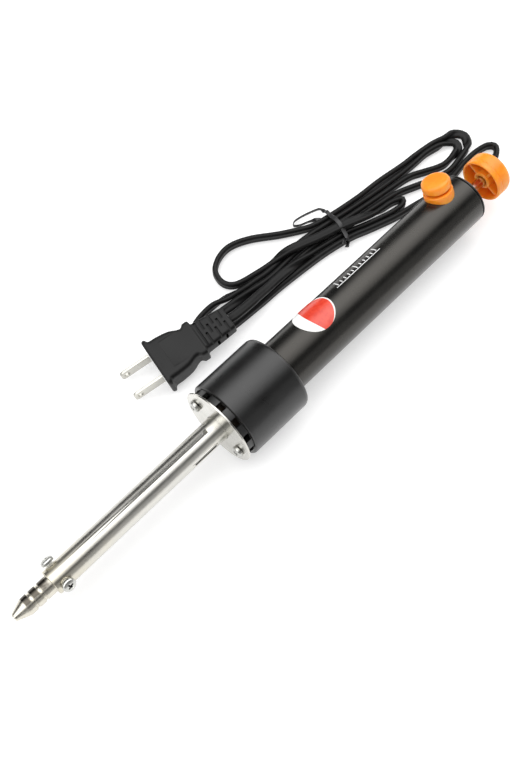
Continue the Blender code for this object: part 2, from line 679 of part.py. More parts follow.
def cord_tie():
    """Wire tie wrapped once round the hank."""
    at, low, high, thick = 85.3, 26.6, 51.2, 0.35
    inner = (low, high, HANK_BOTTOM - 0.15, HANK_TOP + GAP)
    rings = []
    for x, grow in ((at - 1.0, 0), (at - 1.0, thick), (at + 1.0, thick), (at + 1.0, 0)):
        y0, y1, z0, z1 = inner[0] - grow, inner[1] + grow, inner[2] - grow, inner[3] + grow
        rings.append([(x, y0, z0), (x, y1, z0), (x, y1, z1), (x, y0, z1)])
    mesh = bpy.data.meshes.new("cord_tie")
    shape = bmesh.new()
    rows = [[shape.verts.new(Vector(point) * MM) for point in ring] for ring in rings]
    for a, b in zip(rows, rows[1:] + rows[:1]):
        for i in range(4):
            j = (i + 1) % 4
            shape.faces.new((a[i], a[j], b[j], b[i]))
    bmesh.ops.recalc_face_normals(shape, faces=shape.faces)
    shape.to_mesh(mesh)
    shape.free()
    return add("cord_tie", mesh, "pvc", parent=None)


nozzle_tip()
barrel_tube()
clamp_screws()
suction_tube()
heater()
flange_plate()
flange_screws()
insulator_ring()
heat_collar()
pump_tube()
label_sticker()
pump_head()
pump_cylinder()
rod_guide()
rear_cap()
piston()
plunger_rod()
plunger_spring()
knob()
button()
heater_leads()
cord_exit_run()
cord_side_loop()
cord_plug_run(plug())
cord_hank()
cord_tie()
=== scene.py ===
"""Looks of the heated desoldering pump: fine pieces, materials, floor, light and camera.

Stations are millimetres from the nozzle's end along the tool's axis, and angles are degrees round
it, from the top of the print towards the lead. Meshes are made in millimetres and turned to metres.
"""
from math import atan2, cos, pi, radians, sin

import bmesh
import bpy
from mathutils import Matrix, Vector


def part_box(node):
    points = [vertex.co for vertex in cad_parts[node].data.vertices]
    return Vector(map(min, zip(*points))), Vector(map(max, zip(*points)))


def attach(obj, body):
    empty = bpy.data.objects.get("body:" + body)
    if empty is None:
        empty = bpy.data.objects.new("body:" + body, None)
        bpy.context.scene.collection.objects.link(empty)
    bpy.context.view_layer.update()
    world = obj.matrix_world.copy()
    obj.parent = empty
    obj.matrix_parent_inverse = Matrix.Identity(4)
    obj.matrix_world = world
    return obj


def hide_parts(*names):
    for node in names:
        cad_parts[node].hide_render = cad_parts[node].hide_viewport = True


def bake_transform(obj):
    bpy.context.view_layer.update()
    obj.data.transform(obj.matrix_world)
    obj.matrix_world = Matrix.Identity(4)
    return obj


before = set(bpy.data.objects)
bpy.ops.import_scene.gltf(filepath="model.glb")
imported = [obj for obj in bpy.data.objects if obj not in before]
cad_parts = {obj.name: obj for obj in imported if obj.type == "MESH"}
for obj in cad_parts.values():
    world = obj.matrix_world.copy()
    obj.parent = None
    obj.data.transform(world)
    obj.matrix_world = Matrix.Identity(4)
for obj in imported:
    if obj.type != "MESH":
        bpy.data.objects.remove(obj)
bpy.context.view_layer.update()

MM = 0.001
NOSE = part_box("nozzle_tip")[0].x
AXIS_Z = (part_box("pump_tube")[0].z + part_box("pump_tube")[1].z) / 2
ROLL = 21.0
TUBE_R, BARREL_R, BARREL_BORE = 13.2, 6.1, 5.5
COLLAR_R = 19.75
CLAMP_AT, BUTTON_AT, LABEL_AT = 24.8, 273.7, 184.0
BUTTON_ANGLE = 6.0
CLAMP_ANGLES = (37.0, 157.0, 277.0)
SLOT_AT, SLOT_ANGLES = 104.5, (81.0, 263.0)
VENT_AT, VENT_ANGLE = 110.0, -16.0
FLANGE_SCREW_ANGLES, FLANGE_SCREW_R = (53.0, 233.0), 13.75
CORD_ANGLE = 134.0

WORLD = Matrix.Diagonal((MM, MM, MM, 1))
TOOL = Matrix.Translation((NOSE, 0, AXIS_Z)) @ Matrix.Rotation(-radians(ROLL), 4, "X") @ WORLD
ON_AXIS = TOOL @ Matrix.Rotation(pi / 2, 4, "Y")


def around(x, angle, radius):
    """Places a mesh off to one side of the axis, with the tool's own directions."""
    turn = radians(angle)
    return TOOL @ Matrix.Translation((x, radius * sin(turn), radius * cos(turn)))


def radial(x, angle, radius=0.0):
    """Places a mesh with its Z outwards, X along the tool and Y round it."""
    return around(x, angle, radius) @ Matrix.Rotation(-radians(angle), 4, "X")


def beside_axis(x, angle, radius):
    """Places a mesh with its Z along the tool, off to one side of the axis."""
    return around(x, angle, radius) @ Matrix.Rotation(pi / 2, 4, "Y")


def linked(name, data):
    """A new object in the scene."""
    obj = bpy.data.objects.new(name, data)
    bpy.context.scene.collection.objects.link(obj)
    return obj


# ---- materials --------------------------------------------------------------------------------


class Finish:
    """A Principled material whose patterns are laid out in millimetres on the piece itself."""

    def __init__(self, name, metallic=0.0, **uniform):
        self.material = bpy.data.materials.new(name)
        self.material.use_nodes = True
        self.tree = self.material.node_tree
        self.shader = self.tree.nodes["Principled BSDF"]
        self.shader.inputs["Metallic"].default_value = metallic
        for socket, value in uniform.items():
            self.shader.inputs[socket.replace("_", " ")].default_value = value
        self.place = self.tree.nodes.new("ShaderNodeTexCoord").outputs["Object"]

    def node(self, kind, links=(), **settings):
        made = self.tree.nodes.new(kind)
        for key, value in settings.items():
            setattr(made, key, value)
        for socket, value in links:
            target = made.inputs[socket]
            if isinstance(value, bpy.types.NodeSocket):
                self.tree.links.new(value, target)
            else:
                target.default_value = value
        return made

    def coords(self, stretch=(1, 1, 1), turn=(0, 0, 0), shift=(0, 0, 0)):
        scale = tuple(s / MM for s in stretch)
        mapping = self.node("ShaderNodeMapping", [("Vector", self.place), ("Scale", scale),
                                                  ("Rotation", turn), ("Location", shift)])
        return mapping.outputs["Vector"]

    def noise(self, scale, detail=3.0, stretch=(1, 1, 1), rough=0.55, distortion=0.0):
        made = self.node("ShaderNodeTexNoise", [("Vector", self.coords(stretch)), ("Scale", scale),
                                                ("Detail", detail), ("Roughness", rough),
                                                ("Distortion", distortion)])
        return made.outputs["Fac"]

    def cells(self, scale, stretch=(1, 1, 1)):
        made = self.node("ShaderNodeTexVoronoi", [("Vector", self.coords(stretch)),
                                                  ("Scale", scale)])
        return made.outputs["Distance"]

    def ramp(self, value, *stops):
        made = self.node("ShaderNodeValToRGB", [("Fac", value)])
        band = made.color_ramp
        while len(band.elements) < len(stops):
            band.elements.new(0.5)
        for element, (at, color) in zip(band.elements, stops):
            element.position = at
            element.color = (*color, 1)
        return made.outputs["Color"]

    def math(self, operation, a, b=0.0, clamp=False):
        made = self.node("ShaderNodeMath", [(0, a), (1, b)], operation=operation,
                         use_clamp=clamp)
        return made.outputs[0]

    def spread(self, value, low, high, from_low=0.3, from_high=0.7):
        made = self.node("ShaderNodeMapRange", [("Value", value), ("From Min", from_low),
                                                ("From Max", from_high), ("To Min", low),
                                                ("To Max", high)])
        return made.outputs["Result"]

    def mix(self, fac, a, b):
        """Blends two colours, each of them (r, g, b) or another node's output."""
        a, b = ((*c, 1) if isinstance(c, tuple) else c for c in (a, b))
        made = self.node("ShaderNodeMix", [(0, fac), (6, a), (7, b)], data_type="RGBA")
        return made.outputs[2]

    def shades(self, pattern, low, high):
        return self.mix(self.spread(pattern, 0, 1), low, high)

    def color(self, value):
        self.tree.links.new(value, self.shader.inputs["Base Color"])

    def roughness(self, value):
        self.tree.links.new(value, self.shader.inputs["Roughness"])

    def bump(self, *layers):
        """Stacks (height, millimetres deep) layers into the shader's normal."""
        normal = None
        for height, depth in layers:
            links = [("Height", height), ("Distance", depth * MM), ("Strength", 1.0)]
            if normal:
                links.append(("Normal", normal))
            normal = self.node("ShaderNodeBump", links).outputs["Normal"]
        self.tree.links.new(normal, self.shader.inputs["Normal"])


def drawn_metal(name, dark, bright, rough, along=(0.03, 1, 1), depth=0.004, spots=0.0):
    """Metal drawn or turned with fine lines, faint stains and a few handling marks."""
    made = Finish(name, metallic=1.0)
    lines = made.noise(2.6, 4, along)
    stains = made.noise(0.09, 3, distortion=0.6)
    marks = made.noise(0.7, 5, (0.4, 1, 1), 0.7)
    tone = made.shades(stains, dark, bright)
    if spots:
        specks = made.spread(made.noise(0.55, 4, rough=0.65), 0.0, spots, 0.62, 0.74)
        tone = made.mix(specks, tone, tuple(c * 0.55 for c in dark))
    made.color(tone)
    made.roughness(made.math("ADD", made.spread(stains, *rough),
                             made.spread(marks, -0.02, 0.07)))
    made.bump((lines, depth), (marks, depth * 2))
    return made.material


def moulded(name, low, high, rough, grain=0.006, speck=9.0, **uniform):
    """Moulded plastic: a fine spark-eroded grain, slow waviness and faint rubbed patches."""
    made = Finish(name, **uniform)
    cloud = made.noise(0.06, 3, distortion=0.4)
    fine = made.noise(speck, 2)
    made.color(made.shades(cloud, low, high))
    made.roughness(made.math("ADD", made.spread(cloud, *rough), made.spread(fine, -0.02, 0.02)))
    made.bump((fine, grain), (made.noise(0.35, 2), grain * 3))
    return made.material


def heated_nickel(name):
    """Polished plate that has gone straw-coloured and dull near the hot end."""
    made = Finish(name, metallic=1.0)
    along = made.node("ShaderNodeSeparateXYZ", [("Vector", made.place)]).outputs["X"]
    stains = made.noise(0.08, 4, (0.5, 1, 1), distortion=0.8)
    heat = made.math("ADD", made.spread(along, 1.0, 0.0, NOSE, NOSE + 60 * MM),
                     made.spread(stains, -0.3, 0.3), clamp=True)
    lines = made.noise(2.2, 4, (0.025, 1, 1))
    smears = made.noise(0.4, 5, (0.3, 1, 1), 0.7)
    clean = made.shades(stains, (0.56, 0.55, 0.51), (0.68, 0.67, 0.63))
    made.color(made.mix(heat, clean, (0.60, 0.56, 0.45)))
    made.roughness(made.math("ADD", made.spread(stains, 0.24, 0.31),
                             made.spread(smears, -0.01, 0.05)))
    made.bump((lines, 0.0015), (smears, 0.002))
    return made.material


def nickel_with_painted_reflection(name):
    """The nozzle's plate: three lands with a painted dark reflection on the side towards the lead.
    """
    made = Finish(name, metallic=1.0)
    x, y, _ = made.node("ShaderNodeSeparateXYZ", [("Vector", made.place)]).outputs
    reach = 24.0
    along = made.spread(x, 0, 1, NOSE, NOSE + reach * MM)
    lands = made.ramp(along, *((at / reach, (level,) * 3) for at, level in (
        (6.3, 0), (6.9, 1), (9.3, 1), (9.7, 0), (10.7, 0), (11.1, 1), (13.9, 1), (14.3, 0),
        (15.3, 0), (15.8, 1), (18.8, 1), (20.4, 0.25))))
    stain_and_shade_noise = made.noise(0.5, 4, (0.4, 1, 1), 0.65)
    # painted dark reflection: the lands go dark on the side towards the lead, fixed on the piece
    side = made.math("ADD", made.spread(y, 0.0, 1.0, -2.4 * MM, -0.9 * MM),
                     made.spread(stain_and_shade_noise, -0.3, 0.3), clamp=True)
    clean = made.shades(stain_and_shade_noise, (0.60, 0.57, 0.50), (0.70, 0.67, 0.58))
    made.color(made.mix(made.math("MULTIPLY", lands, side), clean, (0.10, 0.09, 0.075)))
    made.roughness(made.spread(stain_and_shade_noise, 0.18, 0.34))
    made.bump((made.noise(2.4, 4, (1, 0.2, 0.2)), 0.004), (stain_and_shade_noise, 0.008))
    return made.material


def turned_disc(name):
    """Bright plate with the rings that facing it on a lathe leaves."""
    made = Finish(name, metallic=1.0)
    x, y, z = made.node("ShaderNodeSeparateXYZ", [("Vector", made.place)]).outputs
    height = made.math("SUBTRACT", z, AXIS_Z)
    radius = made.math("SQRT", made.math("ADD", made.math("MULTIPLY", y, y),
                                         made.math("MULTIPLY", height, height)))
    pitch = 0.35 * MM
    rings = made.math("SINE", made.math("MULTIPLY", radius, 2 * pi / pitch))
    stains = made.noise(0.12, 4, distortion=0.7)
    made.color(made.shades(stains, (0.52, 0.51, 0.47), (0.66, 0.65, 0.61)))
    made.roughness(made.spread(stains, 0.14, 0.26))
    made.bump((made.math("ADD", rings, made.noise(1.5, 3)), 0.003))
    return made.material


def lead_sheath(name):
    """Soft PVC with a slight orange peel and lighter scuffed patches."""
    made = Finish(name, Specular_IOR_Level=0.2)
    cloud = made.noise(0.12, 3, distortion=0.5)
    peel = made.noise(3.0, 3)
    scuff = made.spread(made.noise(0.9, 5, rough=0.7), 0.0, 0.5, 0.55, 0.75)
    tone = made.shades(cloud, (0.005, 0.005, 0.005), (0.009, 0.009, 0.009))
    made.color(made.mix(scuff, tone, (0.018, 0.018, 0.018)))
    made.roughness(made.math("ADD", made.spread(cloud, 0.36, 0.46), made.spread(peel, -0.03, 0.05)))
    made.bump((peel, 0.02), (made.noise(0.5, 2), 0.05))
    return made.material


def orange_moulding(name):
    made = Finish(name, Specular_IOR_Level=0.5, Subsurface_Weight=0.45, Subsurface_Scale=0.004,
                  Subsurface_Radius=(1.0, 0.4, 0.15))
    cloud = made.noise(0.1, 3, distortion=0.6)
    fine = made.noise(7.0, 2)
    flow = made.noise(0.3, 3, (0.3, 1, 1))
    tone = made.shades(cloud, (0.95, 0.25, 0.012), (1.0, 0.33, 0.02))
    made.color(made.mix(made.spread(flow, 0, 0.35, 0.5, 0.7), tone, (1.0, 0.42, 0.04)))
    made.roughness(made.math("ADD", made.spread(cloud, 0.3, 0.4), made.spread(fine, -0.03, 0.03)))
    made.bump((fine, 0.006), (flow, 0.015))
    return made.material


def printed_label(name):
    """Laminated sticker: red behind, white in front, meeting on a curve, with a thin border."""
    made = Finish(name, Specular_IOR_Level=0.55, Coat_Weight=0.4, Coat_Roughness=0.12)
    centre = Matrix.Rotation(radians(ROLL), 3, "X") @ Vector((NOSE / MM + LABEL_AT, 0, AXIS_Z / MM))
    x, y, _ = made.node("ShaderNodeSeparateXYZ", [
        ("Vector", made.coords(turn=(radians(ROLL), 0, 0), shift=tuple(-centre)))]).outputs

    def reach(shift):
        across = made.math("SUBTRACT", x, shift)
        return made.math("SQRT", made.math("ADD", made.math("MULTIPLY", across, across),
                                           made.math("MULTIPLY", y, y)))

    cloud = made.noise(0.5, 3)
    red = made.shades(cloud, (0.60, 0.03, 0.014), (0.72, 0.06, 0.025))
    white = made.shades(cloud, (0.82, 0.82, 0.80), (0.90, 0.90, 0.88))
    curve_at, curve_radius, border_radius = 15.0, 19.6, 9.5
    two_tone = made.mix(made.math("GREATER_THAN", reach(curve_at), curve_radius), red, white)
    made.color(made.mix(made.math("GREATER_THAN", reach(0.0), border_radius), two_tone, white))
    made.roughness(made.spread(made.noise(1.2, 3), 0.28, 0.4))
    made.bump((made.noise(1.0, 3), 0.01), (made.noise(8.0, 2), 0.003))
    return made.material


def mica_sheet(name):
    made = Finish(name, Coat_Weight=0.3, Coat_Roughness=0.3)
    flakes = made.cells(1.1, (0.5, 1, 1))
    cloud = made.noise(0.4, 4)
    # the mica's own brown, made darker still as painted shade for the hollows inside the barrel
    tone = made.ramp(flakes, (0.0, (0.07, 0.045, 0.025)), (0.6, (0.04, 0.026, 0.015)))
    made.color(made.mix(made.spread(cloud, 0, 0.6), tone, (0.02, 0.014, 0.009)))
    made.roughness(made.spread(flakes, 0.3, 0.6, 0, 0.8))
    made.bump((flakes, 0.03), (cloud, 0.05))
    return made.material


def fired_ceramic(name, low, high):
    made = Finish(name)
    pores = made.cells(3.0)
    cloud = made.noise(0.3, 4)
    made.color(made.shades(cloud, low, high))
    made.roughness(made.spread(cloud, 0.55, 0.75))
    made.bump((pores, 0.02), (made.noise(5.0, 3), 0.02))
    return made.material


def sleeving(name):
    """Woven glass-fibre sleeve."""
    made = Finish(name, Sheen_Weight=0.3)
    twist = made.node("ShaderNodeTexWave", [("Vector", made.coords()), ("Scale", 1.2),
                                            ("Distortion", 0.6)], wave_type="BANDS",
                      bands_direction="DIAGONAL").outputs["Fac"]
    made.color(made.mix(twist, (0.62, 0.60, 0.52), (0.84, 0.82, 0.74)))
    made.roughness(made.spread(twist, 0.6, 0.8, 0, 1))
    made.bump((twist, 0.06), (made.noise(6.0, 2), 0.02))
    return made.material


NICKEL = heated_nickel("polished_nickel")
# the nozzle's plate, with a painted dark reflection on three of its lands
PAINTED_REFLECTION_NICKEL = nickel_with_painted_reflection("nickel_with_painted_reflection")
PLATE = turned_disc("turned_nickel_plate")
ZINC = drawn_metal("zinc_plated_screw", (0.46, 0.46, 0.44), (0.62, 0.62, 0.59), (0.22, 0.34),
                   (1, 1, 1), 0.006, 0.25)
ROD = drawn_metal("ground_rod", (0.58, 0.57, 0.55), (0.70, 0.69, 0.67), (0.1, 0.18))
STEEL = drawn_metal("plain_spring_steel", (0.40, 0.40, 0.41), (0.56, 0.56, 0.56), (0.24, 0.36),
                    (1, 1, 1), 0.005, 0.5)
BRASS = drawn_metal("turned_brass", (0.60, 0.40, 0.14), (0.78, 0.56, 0.24), (0.2, 0.34), (1, 1, 1))
PIN = drawn_metal("plug_pin_plate", (0.50, 0.49, 0.45), (0.64, 0.63, 0.58), (0.28, 0.42),
                  (0.2, 1, 1), 0.008, 0.3)
BLACK = moulded("satin_black_plastic", (0.006, 0.006, 0.006), (0.009, 0.009, 0.008), (0.22, 0.28),
                Specular_IOR_Level=0.6, Specular_Tint=(1, 0.95, 0.88, 1))
COLLAR = moulded("black_collar_plastic", (0.005, 0.005, 0.005), (0.008, 0.008, 0.008), (0.26, 0.34),
                 0.010, 6.0, Specular_IOR_Level=0.6)
ORANGE = orange_moulding("orange_moulding")
WHITE = moulded("natural_white_plastic", (0.66, 0.66, 0.61), (0.76, 0.76, 0.72), (0.4, 0.52),
                Subsurface_Weight=0.1, Subsurface_Scale=0.002)
RUBBER = moulded("black_rubber", (0.018, 0.018, 0.018), (0.032, 0.032, 0.032), (0.55, 0.7),
                 0.015, 4.0)
SHEATH = lead_sheath("black_lead_sheath")
PLUG = moulded("black_plug_vinyl", (0.006, 0.006, 0.006), (0.010, 0.010, 0.010), (0.42, 0.52),
               0.018, 4.0, Specular_IOR_Level=0.28)
TIE = moulded("black_tie_plastic", (0.016, 0.016, 0.017), (0.03, 0.03, 0.031), (0.3, 0.42),
              0.02, 3.0)
INK = moulded("white_ink", (0.70, 0.70, 0.70), (0.82, 0.82, 0.82), (0.4, 0.5), 0.004, 12.0)
LABEL = printed_label("two_colour_label")
# mica in its own brown, darkened further as painted shade inside the barrel
MICA_DARK_AS_SHADE = mica_sheet("mica_dark_as_shade")
CERAMIC = fired_ceramic("fired_ceramic", (0.66, 0.62, 0.52), (0.80, 0.77, 0.69))
SLEEVE = sleeving("glass_fibre_sleeve")


# ---- mesh tools -------------------------------------------------------------------------------


def soften(points, fillet, closed=True, count=3):
    """Rounds an outline's corners. An open outline keeps its two ends."""
    rounded = []
    total = len(points)
    for i, point in enumerate(points):
        if not closed and i in (0, total - 1):
            rounded.append(tuple(point))
            continue
        corner, before, after = (Vector(points[j]) for j in (i, i - 1, (i + 1) % total))
        cut = min(fillet, 0.45 * (before - corner).length, 0.45 * (after - corner).length)
        start = corner + (before - corner).normalized() * cut
        end = corner + (after - corner).normalized() * cut
        for k in range(count + 1):
            t = k / count
            rounded.append(tuple(start * (1 - t) ** 2 + corner * 2 * t * (1 - t) + end * t * t))
    return rounded


def skin(shape, rows, looped=False):
    """Faces between rows of vertices that each close on themselves; a row may be one vertex."""
    steps = max(len(row) for row in rows)
    pairs = list(zip(rows, rows[1:])) + ([(rows[-1], rows[0])] if looped else [])
    for low, high in pairs:
        for i in range(steps):
            j = (i + 1) % steps
            corners = [low[i % len(low)], low[j % len(low)], high[j % len(high)],
                       high[i % len(high)]]
            corners = list(dict.fromkeys(corners))
            if len(corners) > 2:
                shape.faces.new(corners)


def to_mesh(name, shape, place):
    bmesh.ops.recalc_face_normals(shape, faces=shape.faces)
    mesh = bpy.data.meshes.new(name)
    shape.to_mesh(mesh)
    shape.free()
    mesh.transform(place)
    return mesh


def turned(name, outline, place=ON_AXIS, steps=96, closed=True, fillet=0.15):
    """A body of revolution from (z, radius) points; one without a bore isn't closed."""
    shape = bmesh.new()
    rows = []
    for z, radius in soften(outline, fillet, closed):
        count = steps if radius > 1e-6 else 1
        rows.append([shape.verts.new((radius * cos(2 * pi * i / count),
                                      radius * sin(2 * pi * i / count), z)) for i in range(count)])
    skin(shape, rows, closed)
    return to_mesh(name, shape, place)


def loft(name, rings, place=WORLD):
    """A closed skin over rings of equally many points, capped at both ends."""
    shape = bmesh.new()
    rows = [[shape.verts.new(point) for point in ring] for ring in rings]
    skin(shape, rows)
    shape.faces.new(rows[0])
    shape.faces.new(rows[-1])
    return to_mesh(name, shape, place)


def block(name, size, place, edge=0.0):
    shape = bmesh.new()
    bmesh.ops.create_cube(shape, size=1.0)
    bmesh.ops.scale(shape, vec=Vector(size), verts=shape.verts)
    if edge:
        bmesh.ops.bevel(shape, geom=shape.edges[:], offset=edge, segments=3, affect="EDGES",
                        profile=0.5)
    return to_mesh(name, shape, place)


def rod(name, radius, length, place, steps=40):
    return turned(name, [(-length / 2, 0), (-length / 2, radius), (length / 2, radius),
                         (length / 2, 0)], place, steps, False, 0.0)


def joined(name, meshes):
    shape = bmesh.new()
    for mesh in meshes:
        shape.from_mesh(mesh)
        bpy.data.meshes.remove(mesh)
    made = bpy.data.meshes.new(name)
    shape.to_mesh(made)
    shape.free()
    return made


def carved(mesh, *steps):
    """Applies (operation, tool mesh) booleans in turn, and gives the new mesh."""
    body = linked("carving", mesh)
    tools = []
    for operation, tool_mesh in steps:
        tool = linked("carving_tool", tool_mesh)
        modifier = body.modifiers.new(operation, "BOOLEAN")
        modifier.operation, modifier.solver, modifier.object = operation, "EXACT", tool
        tools.append(tool)
    evaluated = body.evaluated_get(bpy.context.evaluated_depsgraph_get())
    made = bpy.data.meshes.new_from_object(evaluated)
    made.name = mesh.name
    for obj in (body, *tools):
        bpy.data.objects.remove(obj)
    return made


def piece(name, mesh, material, body, replaces=(), sharp=32.0):
    """A shown piece: shaded, painted, on its body, and standing for its CAD nodes."""
    obj = linked(name, mesh)
    mesh.materials.clear()
    mesh.materials.append(material)
    for face in mesh.polygons:
        face.material_index = 0
    mesh.shade_smooth()
    mesh.set_sharp_from_angle(angle=radians(sharp))
    if body:
        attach(obj, body)
    if replaces:
        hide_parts(*replaces)
    return obj


def curve_through(knots, spacing):
    """Points about `spacing` apart on a Catmull-Rom curve through tuples of any size."""
    knots = [Vector(k) for k in knots]
    knots = [knots[0] * 2 - knots[1], *knots, knots[-1] * 2 - knots[-2]]
    points = []
    for a, b, c, d in zip(knots, knots[1:], knots[2:], knots[3:]):
        count = max(1, round((c.to_3d() - b.to_3d()).length / spacing))
        for i in range(count):
            t = i / count
            points.append(0.5 * (2 * b + (c - a) * t + (2 * a - 5 * b + 4 * c - d) * t * t
                                 + (3 * b - a - 3 * c + d) * t ** 3))
    return points + [knots[-2]]


def heading(points, i):
    """Unit direction of a line of points at one of them."""
    return (points[min(i + 1, len(points) - 1)] - points[max(i - 1, 0)]).normalized()


def swept(name, centres, section, twists):
    """Sweeps a (wide, thin) section; a twist of 0 stands its wide side up, 90 lays it flat."""
    rings = []
    side = None
    for i, centre in enumerate(centres):
        ahead = heading(centres, i)
        level = ahead.cross(Vector((0, 0, 1)))
        side = level.normalized() if level.length > 0.05 or side is None else side
        side = (side - ahead * side.dot(ahead)).normalized()
        up = side.cross(ahead)
        turn = radians(twists[i])
        wide = up * cos(turn) + side * sin(turn)
        thin = side * cos(turn) - up * sin(turn)
        rings.append([centre + (wide * a + thin * b) for a, b in section])
    return loft(name, rings)


def oblong(width, height, corner, count):
    """A rectangle's outline with rounded corners."""
    box = [(width / 2, height / 2), (-width / 2, height / 2), (-width / 2, -height / 2),
           (width / 2, -height / 2)]
    return soften(box, corner, True, count)


def twin_section(width, thick, count=9):
    """A flat twin lead's outline: two round cores with a valley between them on each side."""
    radius = thick / 2
    centre = width / 2 - radius
    points = []
    for sign, start in ((1, -122), (-1, 58)):
        for i in range(count):
            turn = radians(start + 244 * i / (count - 1))
            points.append((sign * centre + radius * cos(turn), radius * sin(turn)))
    return points


# ---- camera -----------------------------------------------------------------------------------

back = Vector((-0.299842, -0.313999, 0.900832)).normalized()
right = Vector((0.698297, -0.715606, -0.017007)).normalized()
up = back.cross(right).normalized()
right = up.cross(back)
camera = linked("camera", bpy.data.cameras.new("camera"))
camera.matrix_world = (Matrix.Translation(Vector((-151.63, -144.98, 446.99)) * MM)
                       @ Matrix((right, up, back)).transposed().to_4x4())
camera.data.sensor_width = 36.0
camera.data.lens = 49.66
camera.data.clip_start, camera.data.clip_end = 0.01, 50.0
bpy.context.scene.camera = camera


# ---- lead -------------------------------------------------------------------------------------

LEAD_WIDTH, LEAD_THICK = 5.0, 2.8
EDGE = 2.56  # centre height of a strand that stands on its edge on the floor
TIED = 3.05  # and where it passes over the tie
ON_TOP = 6.8  # centre height of a strand that lies flat on the others

relief_turn = radians(CORD_ANGLE + ROLL)
OUTWARD = Vector((0, sin(relief_turn), cos(relief_turn)))
ACROSS = Vector((0, cos(relief_turn), -sin(relief_turn)))


def side_point(x, radius):
    """World millimetres of a point at a station, on the side where the lead leaves the tool."""
    return Vector((NOSE / MM + x, 0, AXIS_Z / MM)) + OUTWARD * radius


def strain_relief():
    """Flat sleeve with staggered ribs, bent down beside the knob."""
    bend, straight_to, bend_r, offset = radians(40), 287.8, 11.0, 8.4
    ahead = Vector((cos(bend), 0, 0)) + OUTWARD * sin(bend)
    bent = side_point(straight_to + bend_r * sin(bend), offset + bend_r * (1 - cos(bend)))
    end = bent + ahead * 8.05
    bent_normal = OUTWARD * cos(bend) - Vector((sin(bend), 0, 0))

    def ring(centre, normal, width, thick):
        return [centre + ACROSS * a + normal * b for a, b in oblong(width, thick, 1.3, 5)]

    rings = [ring(side_point(x, offset), OUTWARD, w, h) for x, w, h in (
        (277.6, 8.8, 4.5), (277.9, 9.2, 4.7), (279.3, 9.2, 4.7), (279.6, 8.8, 4.5),
        (279.7, 6.8, 4.2), (283.0, 6.8, 4.2), (straight_to - 0.4, 6.8, 4.1))]
    for i in range(1, 9):
        angle = bend * i / 8
        centre = side_point(straight_to + bend_r * sin(angle), offset + bend_r * (1 - cos(angle)))
        normal = OUTWARD * cos(angle) - Vector((sin(angle), 0, 0))
        slim = 0.9 if i in (2, 3, 6, 7) else 1.0
        rings.append(ring(centre, normal, 6.8 * slim, 3.7 * slim))
    for i in range(3):
        start = 0.5 + 2.5 * i
        width, thick = 6.7 - 0.3 * i, 3.6 - 0.1 * i
        for along, size in ((0.0, 0.86), (1.0, 0.86), (1.15, 1.0), (2.2, 1.0), (2.35, 0.86)):
            rings.append(ring(bent + ahead * (start + along), bent_normal, width * size,
                              thick * size))
    rings.append(ring(end, bent_normal, 5.5, 3.2))
    piece("relief_sleeve", loft("relief_sleeve", rings), RUBBER, "handle",
          ["strain_relief"])
    return end, ahead


def plug_frame():
    turn = Matrix.Rotation(radians(-12.6), 4, "Z") @ Matrix.Rotation(-radians(9.0), 4, "Y")
    return Matrix.Translation((-32.8, 46.6, 7.0)) @ turn


relief_end, relief_ahead = strain_relief()
PLUG_AXES = plug_frame()
level = relief_ahead.cross(Vector((0, 0, 1))).normalized()
exit_twist = atan2(-ACROSS.dot(level), -ACROSS.dot(level.cross(relief_ahead))) * 180 / pi
plug_entry, plug_inside = PLUG_AXES @ Vector((41.3, 0, 0)), PLUG_AXES @ Vector((45.5, 0, 0))

